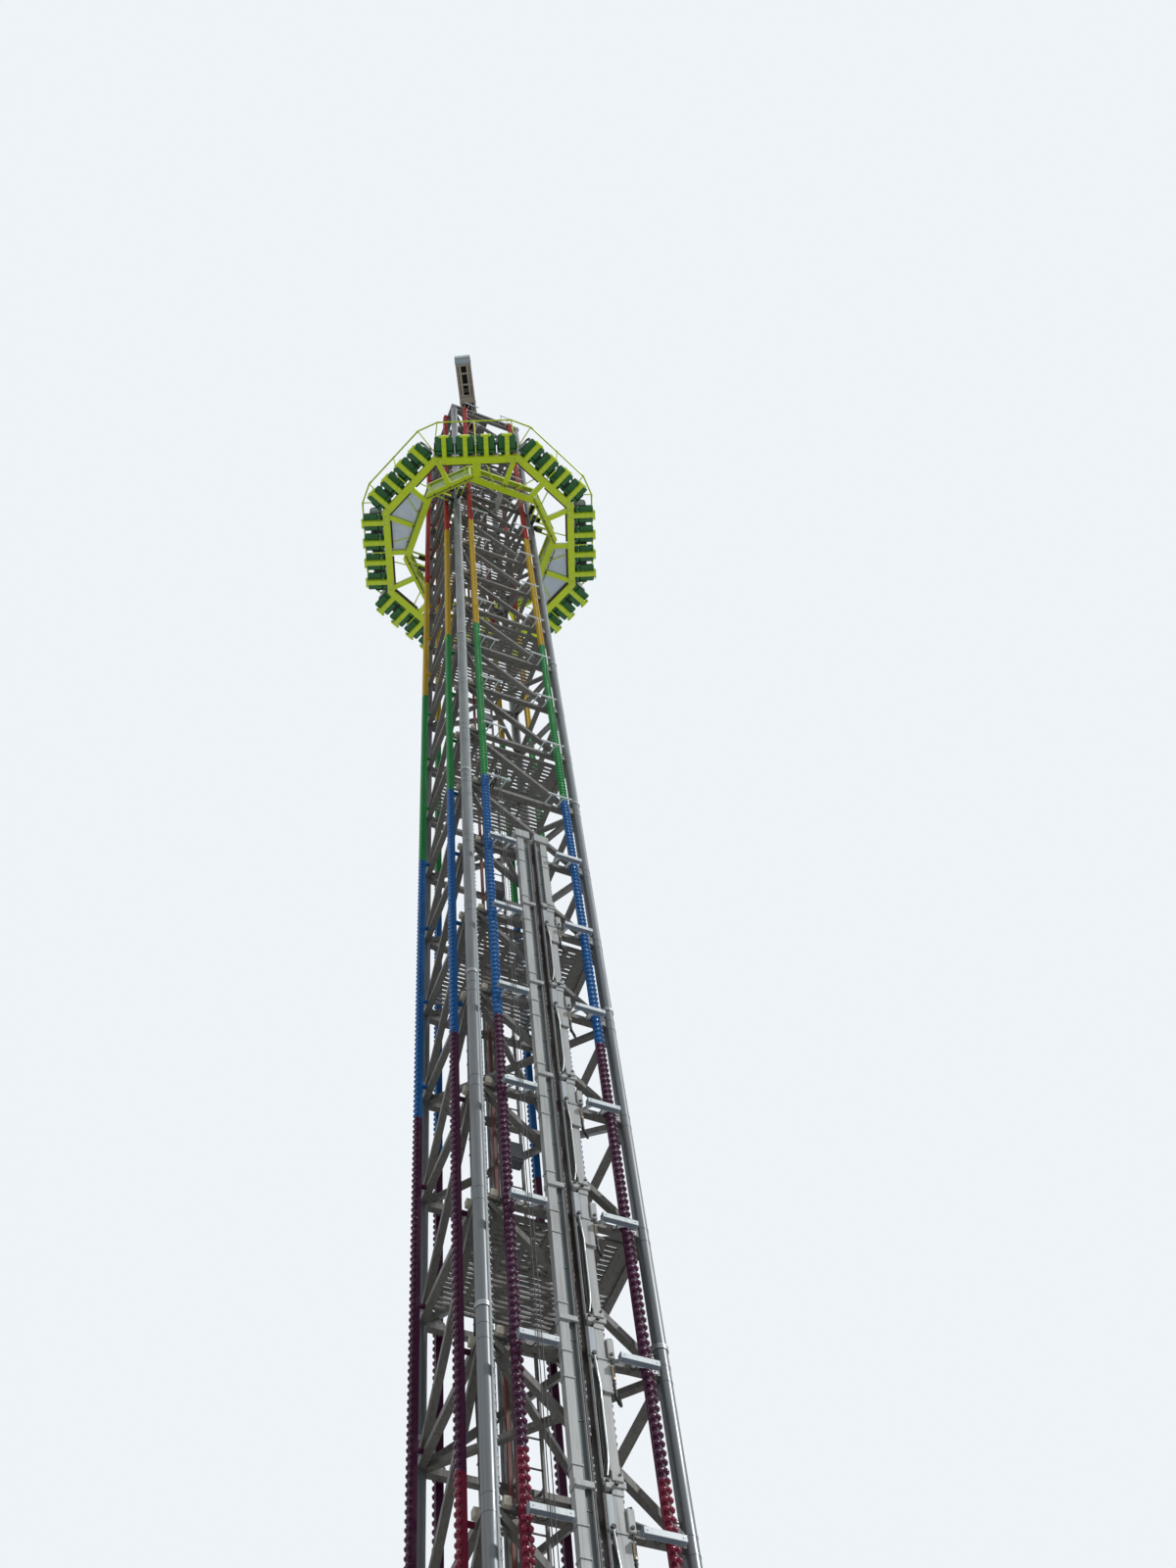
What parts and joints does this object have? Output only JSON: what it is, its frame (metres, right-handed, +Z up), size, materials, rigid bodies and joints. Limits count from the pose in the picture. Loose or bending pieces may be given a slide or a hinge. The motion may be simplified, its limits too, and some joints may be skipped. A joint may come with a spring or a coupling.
{
  "type": "drop tower ride, 1:2 scale model",
  "caption": "Square lattice mast with light strips and brake columns, a ring of seats that rides up and down it, and a jib on its head.",
  "frame": {"origin": "middle of the mast's foot, on the underside of the base girders", "axes": "+Z up along the mast, -Y towards the face with the lamp boxes, +X to the right seen from that face"},
  "size_m": [4.4036, 4.4036, 37.975],
  "materials": {
    "tube_steel": "satin silver-grey paint on round tubes",
    "lattice_steel": "matt grey paint on box sections",
    "galvanised": "galvanised ladder and gratings",
    "light_strip": "coloured channels with lamp caps, changing colour with height",
    "lamp_housing": "pale lamp housings",
    "brake_steel": "grey painted brake columns",
    "green_paint": "glossy yellow-green paint",
    "seat_shell": "dark green moulded shells",
    "wheel_rubber": "black wheels",
    "pale_green": "pale yellow-green sheet",
    "blue_mesh": "fine bluish mesh",
    "black_padding": "black padded bars",
    "black_rope": "black taut ropes",
    "jib_paint": "light grey paint",
    "red_paint": "red paint",
    "chrome": "polished rods"
  },
  "bodies": {
    "root": {"base_girders": "lattice_steel", "anchor_plates": "lattice_steel", "leg_front_left": "tube_steel", "leg_front_right": "tube_steel", "leg_back_right": "tube_steel", "leg_back_left": "tube_steel", "lattice_front": "lattice_steel", "lattice_right": "lattice_steel", "lattice_back": "lattice_steel", "lattice_left": "lattice_steel", "plan_bracing": "lattice_steel", "strips_front": "light_strip", "strips_right": "light_strip", "strips_back": "light_strip", "strips_left": "light_strip", "tube_strips": "lamp_housing", "lamp_boxes": "lamp_housing", "front_ropes": "black_rope", "brake_front_left": "brake_steel", "brake_front_right": "brake_steel", "brake_levers": "brake_steel", "brake_back": "brake_steel", "head_frame": "lattice_steel", "head_sheaves": "green_paint", "ladder": "galvanised", "platforms": "galvanised"},
    "gondola": {"outer_ring": "green_paint", "inner_ring": "green_paint", "upper_chord": "green_paint", "spokes": "green_paint", "ring_braces": "green_paint", "side_panels": "pale_green", "deck_panels": "blue_mesh", "hoop": "green_paint", "hoop_struts": "green_paint", "seat_pans": "seat_shell", "seat_backs": "seat_shell", "restraints": "black_padding", "guide_forks": "green_paint", "guide_wheels": "wheel_rubber", "brake_fins": "brake_steel"},
    "jib_column": {"jib_column": "jib_paint"},
    "jib": {"jib_boom": "jib_paint"},
    "barrels": {"luff_barrels": "red_paint"},
    "rods": {"luff_rods": "chrome"}
  },
  "joints": [
    {"name": "gondola_lift", "type": "slide", "parent": "root", "child": "gondola", "axis": [0, 0, 1], "range_m": [-29.8, 4.5]},
    {"name": "jib_slew", "type": "hinge", "parent": "root", "child": "jib_column", "pos_m": [0, 0, 37.35], "axis": [0, 0, 1], "range_deg": [-150, 150]},
    {"name": "jib_luff", "type": "hinge", "parent": "jib_column", "child": "jib", "pos_m": [0, 0, 37.87], "axis": [-0.891, 0.454, 0], "range_deg": [0, 30]},
    {"name": "barrel_swing", "type": "hinge", "parent": "jib_column", "child": "barrels", "pos_m": [-0.08626, -0.16929, 37.51], "axis": [-0.891, 0.454, 0], "range_deg": [0, 27.43]},
    {"name": "rod_stroke", "type": "slide", "parent": "barrels", "child": "rods", "axis": [-0.4072, -0.7992, 0.442], "range_m": [0, 0.2082]}
  ],
  "couplings": [
    {"joint": "barrel_swing", "follows": "jib_luff", "ratio": 0.90429},
    {"joint": "rod_stroke", "follows": "jib_luff", "m_per_rad": 0.3938}
  ]
}
